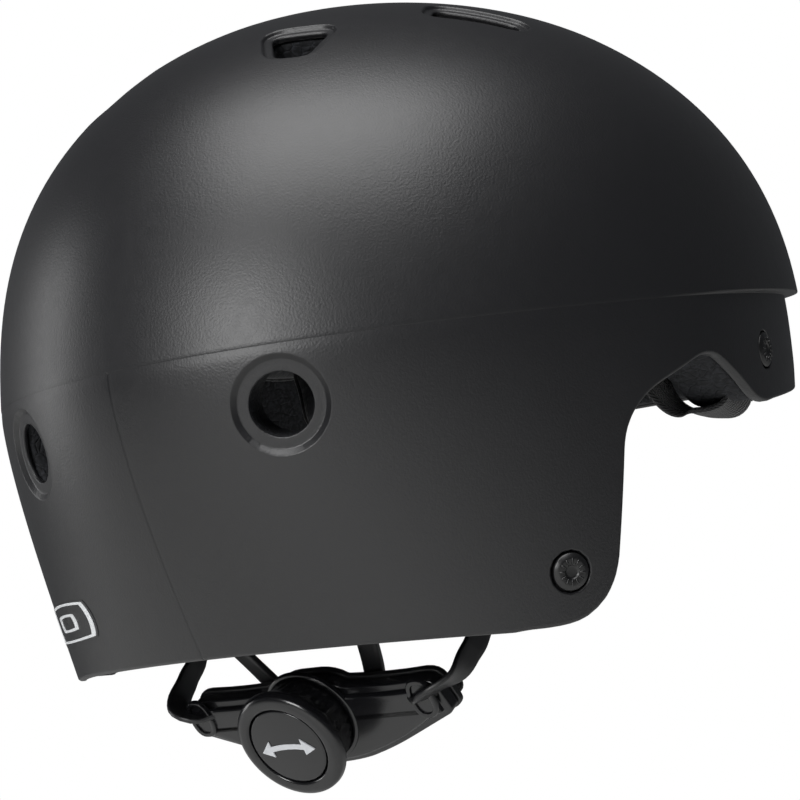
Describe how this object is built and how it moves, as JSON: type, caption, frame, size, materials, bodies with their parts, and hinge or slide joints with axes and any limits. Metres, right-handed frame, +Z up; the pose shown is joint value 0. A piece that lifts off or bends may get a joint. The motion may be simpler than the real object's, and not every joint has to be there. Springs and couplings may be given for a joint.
{
  "type": "water helmet",
  "caption": "Half-cut water helmet: vented shell with brim crease and ear openings, foam liner, pads, dial-adjusted nape cradle and chin strap.",
  "frame": {"origin": "centre of the head opening in the plane of the rear rim, at the mount head_seat, where the head enters and carries the helmet", "axes": "+Z up as worn, the wearer faces -Y, the wearer's right is -X"},
  "size_m": [0.2238, 0.2673, 0.2237],
  "materials": {
    "shell": "moulded ABS, satin black, soft broad highlight",
    "foam": "expanded polystyrene foam, dark grey, fused beads",
    "mark": "printed pale grey blank label",
    "cloth": "black brushed-knit cloth over soft foam",
    "web": "black woven nylon webbing",
    "gloss": "black acetal, semi-gloss",
    "satin": "black nylon, satin",
    "screw": "stainless steel, hidden under the dial cap"
  },
  "bodies": {
    "root": {"outer_shell": "shell", "foam_liner": "foam", "badge": "mark", "pad_brow": "cloth", "hook_brow": "cloth", "pad_side_right": "cloth", "hook_side_right": "cloth", "pad_side_left": "cloth", "hook_side_left": "cloth", "pad_rear_right": "cloth", "hook_rear_right": "cloth", "pad_rear_left": "cloth", "hook_rear_left": "cloth", "pad_crown": "cloth", "hook_crown": "cloth", "rivet_front_right": "satin", "anchor_front_right": "satin", "rivet_rear_right": "satin", "anchor_rear_right": "satin", "strap_front_right": "web", "strap_rear_right": "web", "divider_right": "satin", "arm_plug_right": "satin", "belt_right": "satin", "belt_anchor_right": "satin", "rivet_front_left": "satin", "anchor_front_left": "satin", "rivet_rear_left": "satin", "anchor_rear_left": "satin", "strap_front_left": "web", "strap_rear_left": "web", "divider_left": "satin", "arm_plug_left": "satin", "belt_left": "satin", "belt_anchor_left": "satin", "chin_web_right": "web", "chin_web_left": "web", "strap_keeper": "satin", "buckle_female": "gloss"},
    "cradle": {"cradle_plate": "satin", "cradle_cover": "gloss", "detent_ring": "satin", "arm_left": "satin", "arm_right": "satin", "nape_pad_left": "cloth", "nape_pad_right": "cloth"},
    "dial": {"dial_knob": "gloss", "dial_cap": "gloss", "dial_screw": "screw", "pinion": "satin", "pawl_ring": "satin"},
    "left_rack": {"rack_left": "satin"},
    "right_rack": {"rack_right": "satin"},
    "buckle": {"buckle_male": "gloss"}
  },
  "joints": [
    {"name": "dial_turn", "type": "hinge", "parent": "cradle", "child": "dial", "pos_m": [0, 0.066, -0.0233], "axis": [0, -0.8241, 0.5664], "range_deg": [0, 230]},
    {"name": "cradle_swing", "type": "hinge", "parent": "root", "child": "cradle", "pos_m": [0, 0.086, 0.033], "axis": [-1, 0, 0], "range_deg": [0, 10]},
    {"name": "right_rack_slide", "type": "slide", "parent": "cradle", "child": "right_rack", "axis": [1, 0, 0], "range_m": [0, 0.0121]},
    {"name": "left_rack_slide", "type": "slide", "parent": "cradle", "child": "left_rack", "axis": [-1, 0, 0], "range_m": [0, 0.0121]},
    {"name": "buckle_release", "type": "slide", "parent": "root", "child": "buckle", "axis": [-1, 0, 0], "range_m": [0, 0.02]}
  ],
  "couplings": [
    {"joint": "cradle_swing", "follows": "dial_turn", "ratio": 0.04347},
    {"joint": "right_rack_slide", "follows": "dial_turn", "m_per_rad": 0.003},
    {"joint": "left_rack_slide", "follows": "dial_turn", "m_per_rad": 0.003}
  ]
}
